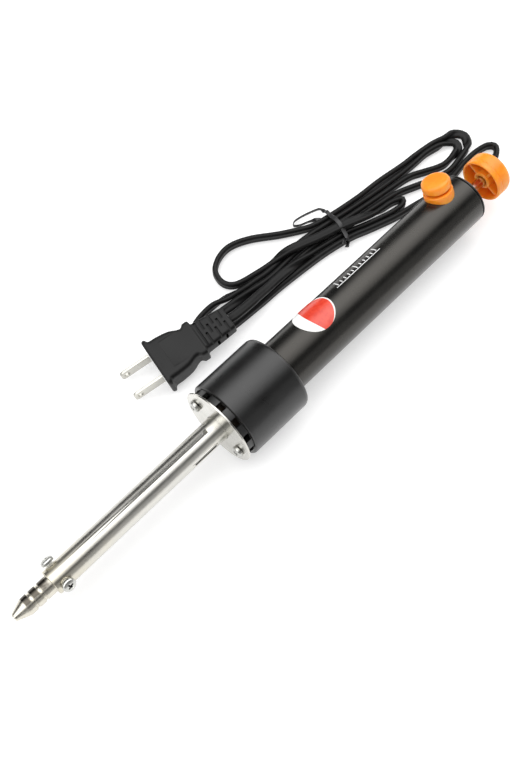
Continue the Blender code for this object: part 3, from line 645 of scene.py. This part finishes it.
LEAD_ROUTE = [  # x, y, height, twist; the last two are left out where the lead stands on its edge
    (*relief_end, exit_twist), (*(relief_end + relief_ahead * 2.2), exit_twist),
    # out under the knob, then the run nearest the tool
    (152.8, 8.4, 2.0, 85), (159.3, 9.3, 1.5, 90), (166.3, 9.6, 1.75, 75), (173.7, 10.2, 2.4, 35),
    (178.5, 12.2), (180.1, 14.8), (177.5, 17.8), (170.3, 19.4), (161.3, 19.4), (151.3, 18.2),
    (141.3, 18.0), (131.3, 18.8), (121.3, 20.8), (113.3, 22.3), (107.3, 23.9), (96.3, 27.6),
    (85.3, 31.2, TIED, 0), (71.3, 34.2), (58.3, 35.6), (41.3, 36.8), (28.3, 37.1), (11.3, 37.9),
    (1.3, 38.9),
    # front fold under the plug, and back along the outside
    (-5.1, 41.8), (-7.5, 46.4), (-5.1, 50.8), (1.3, 52.9), (10.3, 53.2), (17.5, 51.9, 2.1, 50),
    (23.3, 50.3, 2.35, 30), (28.3, 49.0, 2.46, 15), (34.3, 47.9), (41.3, 47.0), (49.3, 46.9),
    (58.3, 47.6), (71.3, 46.9), (85.3, 44.4, TIED, 0), (96.3, 42.7), (107.3, 41.1), (121.3, 39.4),
    (134.3, 38.2), (143.3, 37.9), (151.3, 37.8), (159.3, 36.2),
    # inner rear loop
    (165.2, 34.7, 1.85, 68), (168.4, 31.4, 1.6, 85), (165.6, 27.6, 1.85, 68), (159.3, 26.6),
    (153.3, 26.2), (148.3, 27.6), (141.3, 31.0), (133.8, 34.3), (121.3, 36.2), (107.3, 38.0),
    (96.3, 39.6), (85.3, 41.2, TIED, 0), (71.3, 43.7), (58.3, 44.5), (41.3, 43.9),
    (28.3, 45.4, 2.43, 20), (17.3, 47.0, 1.8, 70), (9.3, 47.8, 1.95, 60), (3.3, 47.7),
    # short front fold
    (-0.5, 45.0), (3.1, 42.3), (9.3, 41.9, 2.1, 50), (17.3, 42.0, 1.95, 60),
    (28.3, 41.7, 2.43, 20), (41.3, 40.5), (58.3, 41.1), (71.3, 40.6), (85.3, 38.0, TIED, 0),
    (96.3, 36.1), (107.3, 34.4), (121.3, 32.0), (132.3, 27.9), (141.3, 24.1), (151.3, 21.7),
    (161.3, 22.9),
    # outer rear loop
    (168.9, 24.4), (172.6, 26.9, 1.85, 68), (175.2, 31.2, 1.6, 85), (172.4, 35.6, 1.85, 68),
    (165.9, 37.2), (158.3, 39.3), (146.3, 40.8), (137.3, 41.4), (121.3, 43.5), (107.3, 44.5),
    (96.3, 45.9), (85.3, 47.4, TIED, 0),
    # side loop
    (78.8, 49.1), (73.4, 51.4), (62.4, 58.2), (50.2, 67.0), (40.2, 71.2), (31.9, 70.6),
    (25.2, 66.8), (22.7, 61.1), (23.3, 56.6), (26.1, 53.6), (30.3, 52.0), (35.3, 51.0),
    (41.3, 50.0, EDGE, 5),
    # over the others to the short rear fold
    (48.3, 48.8, 4.1, 32), (54.3, 47.6, 6.1, 75), (60.3, 45.8, ON_TOP, 90),
    (71.3, 41.9, ON_TOP, 90), (85.3, 37.4, ON_TOP + 0.5, 90), (95.3, 34.0, ON_TOP, 85),
    (102.3, 32.1, 5.2, 50), (108.8, 31.2, 3.0, 8), (114.3, 30.6), (118.7, 29.2), (121.2, 27.3),
    (118.9, 25.4), (114.3, 25.5), (107.3, 27.1), (96.3, 30.7), (85.3, 34.4, TIED, 0), (71.3, 37.5),
    (63.3, 38.5, 3.1, 8),
    # up onto the hank and into the plug
    (55.3, 39.2, 4.6, 40), (48.3, 39.4, 6.2, 78), (41.3, 39.4, ON_TOP, 90), (34.3, 39.0, 7.6, 90),
    (27.3, 38.2, 9.8, 90), (20.3, 37.2, 12.2, 90), (*plug_inside, 90), (*plug_entry, 90),
]
lead_line = curve_through([(*knot, EDGE, 0)[:4] for knot in LEAD_ROUTE], 1.6)
lead_points = [p.to_3d() for p in lead_line]
lead = piece("twin_lead", swept("twin_lead", lead_points, twin_section(LEAD_WIDTH, LEAD_THICK),
                                [p[3] for p in lead_line]),
             SHEATH, "handle",
             ["cord_exit_run", "cord_side_loop", "cord_plug_run", "cord_hank"], 60)


def wire_tie():
    """Ribbon tie with a wire core: twisted stub, one turn round the hank and a loose loop."""
    route = [(79.2, 29.9, 5.6), (80.6, 30.6, 6.0), (82.7, 31.0, 6.2), (83.9, 34.0, 7.2),
             (84.9, 38.0, 8.9), (85.7, 42.0, 8.6), (86.5, 46.0, 6.9), (87.2, 49.2, 6.2),
             (87.9, 50.6, 4.0), (88.3, 52.6, 2.4), (87.9, 54.8, 1.9), (83.3, 56.8, 1.7),
             (77.9, 58.4, 1.5), (73.7, 58.8, 1.5), (71.9, 57.2, 1.5), (74.3, 55.2, 1.5),
             (79.3, 53.4, 1.3), (83.9, 50.8, 0.9), (84.9, 47.0, 0.36), (84.7, 40.0, 0.34),
             (83.9, 33.0, 0.34), (82.9, 30.0, 1.3), (81.6, 29.4, 3.2), (79.9, 28.4, 3.7)]
    core = curve_through(route, 0.6)
    ribbon = [(1.1, 0.0), (0.9, 0.16), (0.45, 0.18), (0.0, 0.32), (-0.45, 0.18), (-0.9, 0.16),
              (-1.1, 0.0), (-0.9, -0.16), (-0.45, -0.18), (0.0, -0.32), (0.45, -0.18), (0.9, -0.16)]
    rings = []
    for i, centre in enumerate(core):
        ahead = heading(core, i)
        wide = Vector((1, 0.1, 0))
        past_hank = centre.y - 51.5
        if past_hank > 0:
            wide = wide.lerp(Vector((0, 0, 1)), min(1.0, past_hank / 2.0))
        wide = (wide - ahead * wide.dot(ahead)).normalized()
        rings.append([centre + wide * a + ahead.cross(wide) * b for a, b in ribbon])
    return loft("wire_tie", rings)


tie = piece("wire_tie", wire_tie(), TIE, "handle", ["cord_tie"], 50)


# ---- plug -------------------------------------------------------------------------------------


def plug_moulding():
    outline = [  # along, width, height, corner
        (0.0, 25.4, 12.6, 3.0), (0.25, 26.2, 13.2, 3.2), (0.7, 26.8, 13.7, 3.4),
        (1.4, 27.0, 13.8, 3.4), (2.0, 26.6, 13.5, 3.4), (2.4, 25.0, 13.0, 3.2),
        (3.0, 23.4, 12.7, 3.0), (3.8, 22.9, 12.6, 2.8), (7.0, 22.7, 12.4, 2.6),
        (10.5, 22.0, 12.1, 2.6), (13.5, 20.9, 11.8, 2.6), (15.4, 19.4, 11.4, 2.6),
        (17.0, 17.8, 11.0, 2.6), (18.6, 16.9, 10.6, 2.6), (19.5, 17.3, 10.4, 2.6),
        (20.2, 18.6, 10.3, 2.4), (20.8, 19.7, 10.2, 2.2), (22.8, 19.9, 10.1, 2.2),
        (23.5, 19.6, 9.9, 2.2), (23.9, 18.2, 9.2, 2.2), (24.1, 16.0, 8.4, 2.2),
        (24.6, 15.5, 8.0, 2.2), (33.0, 14.3, 7.7, 2.2), (40.0, 13.0, 7.2, 2.0),
        (40.7, 12.7, 7.0, 2.0), (41.0, 11.8, 6.2, 2.0),
    ]
    rings = []
    for along, width, height, corner in outline:
        rings.append([(along, a, b) for a, b in oblong(width, height, corner, 7)])
    place = WORLD @ PLUG_AXES
    body = loft("plug_moulding", rings, place)
    cuts = []
    outside = 9
    for i in range(6):
        along, reach = 25.6 + 2.5 * i, 7.6 - 0.17 * i
        if i == 0:
            spans = [(0.6 - reach, reach - 0.6)]
        elif i % 2:
            spans = [(-reach, -0.9), (0.9, reach)]
        else:
            spans = [(-outside, -0.62 * reach), (-0.36 * reach, 0.36 * reach),
                     (0.62 * reach, outside)]
        for left, far in spans:
            from_side = outside in (-left, far)
            height = 4.6 if from_side else 3.2
            for at_z in (0.0,) if from_side else (4.1, -4.1):
                cuts.append(block("slot", (1.2, far - left, height), place @ Matrix.Translation(
                    (along, (left + far) / 2, at_z)), 0.25))
    for z in (1, -1):
        panel = Matrix.Translation((12.4, 0, z * 6.55)) @ Matrix.Rotation(radians(3.0) * z, 4, "Y")
        cuts.append(block("panel", (11.6, 15.4, 1.6), place @ panel, 0.5))
    return carved(body, ("DIFFERENCE", joined("plug_cuts", cuts)))


def plug_pin(side):
    """Flat blade with eased edges, a rounded tip and a hole."""
    length, thick, tall = 16.2, 1.5, 6.3
    rings = []
    for from_tip, slimmer, lower in ((0.0, 0.88, 2.72), (0.2, 0.48, 1.76), (0.6, 0.16, 0.96),
                                     (1.2, 0.0, 0.4), (2.0, 0.0, 0.0), (length, 0.0, 0.0)):
        rings.append([(-0.3 - length + from_tip, a, b)
                      for a, b in oblong(thick - slimmer, tall - lower, 0.22, 3)])
    half_pitch = 6.35
    place = WORLD @ PLUG_AXES @ Matrix.Translation((0, side * half_pitch, 0))
    hole = rod("pin_hole", 1.5, 5.0, place @ Matrix.Translation((-13.3, 0, 0))
               @ Matrix.Rotation(pi / 2, 4, "X"))
    return carved(loft("plug_pin", rings, place), ("DIFFERENCE", hole))


plug = piece("plug_moulding", plug_moulding(), PLUG, "handle", ["plug_body"], 40)
pins = [piece(f"plug_pin_{i + 1}", plug_pin(side), PIN, "handle",
              [f"plug_blade_{i + 1}"]) for i, side in enumerate((-1, 1))]


# ---- heated end -------------------------------------------------------------------------------


def nozzle():
    groove = [(0, 4.3), (0.15, 3.85), (1.05, 3.85), (1.2, 4.3)]
    rings = [(at + z, radius) for at in (9.6, 14.2) for z, radius in groove]
    outline = [(0, 1.55), (0.5, 1.95), (5.6, 4.0), (6.6, 4.3), *rings, (31.6, 4.3), (32.0, 3.9),
               (32.0, 1.9), (23.0, 1.9), (23.0, 0.75), (1.0, 0.75), (0, 1.0)]
    return turned("nozzle", outline, fillet=0.12)


def barrel():
    body = turned("barrel", [(20.2, 5.75), (20.45, BARREL_R), (112.0, BARREL_R),
                             (117.4, BARREL_R), (119.0, 6.2), (119.0, 7.5), (120.0, 7.5),
                             (120.0, BARREL_BORE), (20.2, BARREL_BORE)], steps=128, fillet=0.1)
    lips = [block("lip", (15.0, 2.2, 1.4), radial(SLOT_AT, angle, BARREL_R - 0.35), 0.5)
            for angle in SLOT_ANGLES]
    seats = [turned("seat", [(-1.0, 0), (-1.0, 2.5), (0.2, 2.5), (0.2, 0)],
                    radial(CLAMP_AT, angle, BARREL_R - 0.05), 40, False) for angle in CLAMP_ANGLES]
    holes = [rod("hole", 1.8, 12, radial(CLAMP_AT, angle, 8)) for angle in CLAMP_ANGLES]
    holes.append(rod("vent", 1.0, 12, radial(VENT_AT, VENT_ANGLE, 8)))
    slots = [block("slot", (13.0, 1.1, 10.0), radial(SLOT_AT, angle, 7.0), 0.5)
             for angle in SLOT_ANGLES]
    bore = turned("bore", [(19.0, 0), (19.0, BARREL_BORE), (121.0, BARREL_BORE), (121.0, 0)],
                  steps=128, closed=False, fillet=0.0)
    return carved(body, ("UNION", joined("raised", lips + seats)), ("DIFFERENCE", bore),
                  ("DIFFERENCE", joined("openings", holes + slots)))


def cross_cut(place, size, depth, arm=0.9):
    """A tapering cross recess at the top of a screw's head."""
    arms = []
    for quarter in (0, 1):
        rings = []
        for z, shrink in ((-depth, 0.45), (0.4, 1.0)):
            long, short = size / 2 * shrink, arm / 2 * (0.6 + 0.4 * shrink)
            rings.append([(long, short, z), (-long, short, z), (-long, -short, z),
                          (long, -short, z)])
        arms.append(loft("arm", rings, place @ Matrix.Rotation(pi / 2 * quarter + 0.4, 4, "Z")))
    return arms


def screw(name, place, shank_r, shank, head_r, head, pitch=0.5):
    """Pan-head screw along Z with its shank's end at z = 0, ring threads and a cross recess."""
    outline = [(0, 0), (0, shank_r - 0.35)]
    turns = int((shank - 0.4) / pitch)
    for i in range(turns):
        z = 0.25 + pitch * i
        outline += [(z, shank_r - 0.25), (z + pitch * 0.5, shank_r)]
    top = shank + head
    outline += [(shank, shank_r - 0.25), (shank, head_r - 0.1), (shank + 0.25, head_r),
                (top - 1.1, head_r), (top - 0.55, head_r - 0.3), (top - 0.2, head_r - 0.8),
                (top, head_r - 1.5), (top, 0)]
    body = turned(name, outline, place, 48, False, 0.08)
    first, second = cross_cut(place @ Matrix.Translation((0, 0, top)), head_r * 1.15, 1.1)
    return carved(body, ("DIFFERENCE", first), ("DIFFERENCE", second))


def flange_plate():
    body = turned("flange_plate", [(117.6, 19.3), (117.75, 19.6), (118.45, 19.6), (118.6, 19.3),
                                   (118.6, 6.4), (117.6, 6.4)], steps=128, fillet=0.12)
    holes = [rod("hole", 1.8, 6, beside_axis(118, angle, FLANGE_SCREW_R))
             for angle in FLANGE_SCREW_ANGLES]
    return carved(body, ("DIFFERENCE", joined("holes", holes)))


def collar():
    outline = [(118.9, 15.8), (118.9, 18.0), (122.2, 18.0), (122.2, 19.3), (122.7, COLLAR_R),
               (154.2, COLLAR_R), (155.5, 19.3), (156.2, 17.9), (156.2, TUBE_R + 0.3),
               (140.7, TUBE_R + 0.3), (140.7, 11.6), (136.0, 11.6), (136.0, 15.8)]
    body = turned("collar", outline, steps=128, fillet=0.35)
    notches = [block("notch", (6.4, 4.0, 8.0), radial(118.9, 30 * i + 8, 17.0), 0.35)
               for i in range(12)]
    bosses = [turned("boss", [(118.95, 0), (118.95, 3.2), (137.0, 3.2), (137.0, 0)],
                     beside_axis(0, angle, FLANGE_SCREW_R), 32, False, 0.25)
              for angle in FLANGE_SCREW_ANGLES]
    pilots = [rod("pilot", 1.7, 20.0, beside_axis(122.0, angle, FLANGE_SCREW_R))
              for angle in FLANGE_SCREW_ANGLES]
    return carved(body, ("DIFFERENCE", joined("notches", notches)),
                  ("UNION", joined("bosses", bosses)), ("DIFFERENCE", joined("pilots", pilots)))


piece("nozzle", nozzle(), PAINTED_REFLECTION_NICKEL, "handle", ["nozzle_tip"])
piece("barrel", barrel(), NICKEL, "handle", ["barrel_tube"])
for i, angle in enumerate(CLAMP_ANGLES):
    piece(f"clamp_screw_fine_{i + 1}",
          screw("clamp_screw", radial(CLAMP_AT, angle, 4.6), 1.5, 2.7, 3.1, 2.2),
          ZINC, "handle", [f"clamp_screw_{i + 1}"])
for i, angle in enumerate(FLANGE_SCREW_ANGLES):
    flipped = beside_axis(131.3, angle, FLANGE_SCREW_R) @ Matrix.Rotation(pi, 4, "X")
    piece(f"flange_screw_fine_{i + 1}", screw("flange_screw", flipped, 1.4, 14.0, 2.9, 2.0),
          ZINC, "handle", [f"flange_screw_{i + 1}"])
piece("shield_plate", flange_plate(), PLATE, "handle", ["flange_plate"])
piece("vented_collar", collar(), COLLAR, "handle", ["heat_collar"])


# ---- handle -----------------------------------------------------------------------------------


def tube():
    body = turned("tube", [(141.0, TUBE_R), (286.5, TUBE_R), (287.0, TUBE_R - 0.35), (287.0, 11.9),
                           (141.0, 11.9)], steps=128, fillet=0.2)
    hole = rod("hole", 5.9, 30, radial(BUTTON_AT, BUTTON_ANGLE, 15), 64)
    return carved(body, ("DIFFERENCE", hole))


def wrapped(name, low, thick, cells, at):
    """A thin sheet that follows the tube: cells are quads of (x, angle) corners in order."""
    shape = bmesh.new()
    for ring in cells:
        rows = [[shape.verts.new((at + x, r * sin(radians(a)), r * cos(radians(a))))
                 for x, a in ring] for r in (low, low + thick)]
        shape.faces.new(rows[0])
        shape.faces.new(rows[1])
        for i in range(len(ring)):
            j = (i + 1) % len(ring)
            shape.faces.new((rows[0][i], rows[0][j], rows[1][j], rows[1][i]))
    return to_mesh(name, shape, TOOL)


def label():
    """Round sticker wrapped on the tube, a little thicker than it is, with an eased edge."""
    radius, low, rows = 10.25, TUBE_R + 0.02, 24
    shape = bmesh.new()
    layers = []
    for lift, shrink in ((0.0, 0.0), (0.16, 0.0), (0.26, 0.12)):
        rings = []
        for k in range(1, rows + 1):
            size = (radius - shrink) * k / rows
            rings.append([(size * cos(t), size * sin(t) / TUBE_R, low + lift)
                          for t in (2 * pi * i / 96 for i in range(96))])
        layers.append(rings)

    def vert(x, angle, r):
        return shape.verts.new((LABEL_AT + x, r * sin(angle), r * cos(angle)))

    bottom = [[vert(0, 0, low)]] + [[vert(*p) for p in ring] for ring in layers[0]]
    edge = [[vert(*p) for p in layers[1][-1]]]
    top = [[vert(*p) for p in ring] for ring in reversed(layers[2])] + [[vert(0, 0, low + 0.26)]]
    skin(shape, bottom + edge + top)
    return to_mesh("label", shape, TOOL)


def print_marks():
    """A plain graduated scale in white ink, with a line along its foot."""
    cells = []
    step, line, foot = 2.6, 0.55, 8.5  # the foot in degrees round the tube

    def patch(x0, x1, a0, a1):
        count = max(1, int(abs(a1 - a0) / 2.5))
        for k in range(count):
            low, high = a0 + (a1 - a0) * k / count, a0 + (a1 - a0) * (k + 1) / count
            cells.append([(x0, low), (x1, low), (x1, high), (x0, high)])

    for i in range(11):
        tall = 17.0 if i % 5 == 0 else 9.0
        patch(step * i, step * i + line, foot, foot + tall)
    patch(-1.4, step * 10 + 2.0, 4.4, 6.4)
    return wrapped("print_marks", TUBE_R + 0.01, 0.04, cells, 203.0)


def rear_cap():
    outline = [(281.0, 11.6), (287.3, 11.6), (287.3, 13.1), (288.0, 13.1), (288.3, 12.7),
               (288.3, 5.0), (287.8, 4.6), (287.8, 2.8), (281.0, 2.8)]
    opening = block("opening", (16.0, 7.4, 5.0), radial(284.0, CORD_ANGLE, 8.4), 0.3)
    return carved(turned("cap", outline, steps=96, fillet=0.2), ("DIFFERENCE", opening))


piece("handle_tube", tube(), BLACK, "handle", ["pump_tube"])
piece("round_label", label(), LABEL, "handle", ["label_sticker"])
piece("scale_print", print_marks(), INK, "handle")
piece("end_cap", rear_cap(), COLLAR, "handle", ["rear_cap"])


# ---- plunger and button -----------------------------------------------------------------------


def plunger_rod():
    return turned("rod", [(158.3, 0), (158.3, 2.5), (271.7, 2.5), (272.2, 1.8), (275.2, 1.8),
                          (275.7, 2.5), (306.4, 2.5), (306.4, 0)], steps=64, closed=False)


def thumb_knob():
    outline = [(306.7, 0), (306.7, 2.8), (302.0, 2.8), (301.8, 3.1), (301.8, 4.3), (302.2, 4.6),
               (308.6, 4.75), (308.6, 9.5), (301.6, 10.0), (301.1, 10.4), (301.1, 10.9),
               (301.7, 11.4), (303.6, 11.4), (303.9, 11.2), (304.3, 11.2), (304.6, 11.4),
               (308.9, 11.4), (310.3, 10.85), (311.1, 9.8), (311.4, 8.4), (311.4, 0)]
    cup = turned("knob", outline, steps=96, closed=False, fillet=0.3)
    ribs = [block("rib", (6.4, 1.4, 6.0), radial(305.8, 90 * i + 45, 7.3), 0.25) for i in range(4)]
    return carved(cup, ("UNION", joined("ribs", ribs)))


def button_cap():
    return turned("button", [(11.5, 0), (11.5, 5.2), (17.1, 5.2), (17.1, 6.7), (17.4, 7.05),
                             (18.0, 7.1), (20.1, 7.1), (20.9, 6.8), (21.4, 6.2), (21.7, 5.2),
                             (21.5, 0)], radial(BUTTON_AT, BUTTON_ANGLE), 96, False, 0.3)


def button_base():
    ring = turned("base", [(10.5, 7.35), (15.1, 7.35), (15.6, 6.9), (15.6, 5.5), (10.5, 5.5)],
                  radial(BUTTON_AT, BUTTON_ANGLE), 96, True, 0.25)
    saddle = rod("saddle", TUBE_R + 0.05, 40, beside_axis(BUTTON_AT, 0, 0), 128)
    return carved(ring, ("DIFFERENCE", saddle))


def coil(name, radius, start, end, turns, wire_r, place):
    """Helix with closed ends, round local Z."""
    per_turn = 28
    count = turns * per_turn
    points = []
    for i in range(count + 1):
        t = i / count
        eased = min(1.0, max(0.0, (t * turns - 0.7) / (turns - 1.4)))
        pitch_in = wire_r * 2 * min(1.0, t * turns / 0.7)
        pitch_out = wire_r * 2 * min(1.0, (1 - t) * turns / 0.7)
        z = start + pitch_in + (end - start - 4 * wire_r) * eased + (2 * wire_r - pitch_out)
        a = 2 * pi * i / per_turn
        points.append(Vector((radius * cos(a), radius * sin(a), z)))
    section = [(wire_r * cos(2 * pi * k / 10), wire_r * sin(2 * pi * k / 10)) for k in range(10)]
    rings = []
    for i, centre in enumerate(points):
        out = Vector((centre.x, centre.y, 0)).normalized()
        side = heading(points, i).cross(out)
        rings.append([centre + out * a + side * b for a, b in section])
    return loft(name, rings, place)


piece("ground_rod", plunger_rod(), ROD, "plunger", ["plunger_rod"])
piece("thumb_knob", thumb_knob(), ORANGE, "plunger", ["knob"])
piece("release_button", button_cap(), ORANGE, "button", ["button_cap"])
piece("button_collar", button_base(), ORANGE, "handle", ["button_base"])

main_spring = piece("main_spring", coil("main_spring", 4.9, 213.05, 225.25, 9, 0.45, ON_AXIS),
                    STEEL, None, ["plunger_spring"])
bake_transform(main_spring)
button_axes = radial(BUTTON_AT, BUTTON_ANGLE)
small_spring = piece("small_spring",
                     coil("small_spring", 2.0, -11.2, -6.1, 4, 0.25, button_axes),
                     STEEL, None, ["button_spring"])
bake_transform(small_spring)


# ---- materials of the CAD nodes that stay -----------------------------------------------------

KEPT = {
    "suction_tube": STEEL, "heater_core": CERAMIC, "heater_coil": STEEL, "mica_sleeve": MICA_DARK_AS_SHADE,
    "insulator_ring": MICA_DARK_AS_SHADE, "pump_head": WHITE, "head_gasket": RUBBER, "pump_cylinder": WHITE,
    "rod_guide": WHITE, "guide_bush": BRASS, "piston": WHITE, "piston_o_ring": RUBBER,
    "spring_stop": STEEL, "latch_plate": STEEL, "heater_lead_1": SLEEVE, "heater_lead_2": SLEEVE,
    "splice_1": WHITE, "splice_2": WHITE, "cord_tail": SHEATH,
}
for name, material in KEPT.items():
    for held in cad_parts[name].material_slots:
        held.material = material


# ---- floor and light --------------------------------------------------------------------------


def floor_material():
    """Pale matt floor, self-lit a little so that shadows stay as faint as a light tent's."""
    made = Finish("pale_floor", Specular_IOR_Level=0.2, Emission_Color=(1, 1, 1, 1),
                  Emission_Strength=0.5)
    cloud = made.noise(0.004, 3)
    made.color(made.shades(cloud, (0.60, 0.60, 0.60), (0.63, 0.63, 0.63)))
    made.roughness(made.spread(cloud, 0.6, 0.7))
    made.bump((made.noise(0.8, 3), 0.01))
    return made.material


floor = linked("floor", bpy.data.meshes.new("floor"))
floor.data.from_pydata([(-4, -4, 0), (4, -4, 0), (4, 4, 0), (-4, 4, 0)], [], [(0, 1, 2, 3)])
floor.data.materials.append(floor_material())
floor.location.z = -0.0003


def studio_world():
    """A white tent over the tool with two darker gaps that run along it."""
    world = bpy.data.worlds.new("studio")
    world.use_nodes = True
    tree = world.node_tree
    tree.nodes.clear()

    def add(kind, *links):
        made = tree.nodes.new(kind)
        for socket, value in links:
            tree.links.new(value, made.inputs[socket])
        return made

    place = add("ShaderNodeTexCoord")
    split = add("ShaderNodeSeparateXYZ", (0, place.outputs["Generated"]))
    turn = add("ShaderNodeMath", (0, split.outputs["Y"]), (1, split.outputs["Z"]))
    turn.operation = "ARCTAN2"
    spread = add("ShaderNodeMapRange", ("Value", turn.outputs[0]))
    spread.inputs["From Min"].default_value = -pi
    spread.inputs["From Max"].default_value = pi
    band = add("ShaderNodeValToRGB", ("Fac", spread.outputs["Result"]))
    # degrees from straight up, towards the lead where positive, and the light from there
    stops = [(-110, 0.4), (-56, 0.45), (-51, 0.01), (-34, 0.01), (-22, 1.4), (2, 2.7), (28, 2.7),
             (46, 1.0), (58, 0.03), (150, 0.03)]
    while len(band.color_ramp.elements) < len(stops):
        band.color_ramp.elements.new(0.5)
    for element, (angle, light) in zip(band.color_ramp.elements, stops):
        element.position = (angle + 180) / 360
        element.color = (light, light, light, 1)
    glow = add("ShaderNodeBackground", ("Color", band.outputs["Color"]))
    add("ShaderNodeOutputWorld", ("Surface", glow.outputs[0]))
    bpy.context.scene.world = world
    bpy.context.scene.view_settings.view_transform = "Standard"


studio_world()
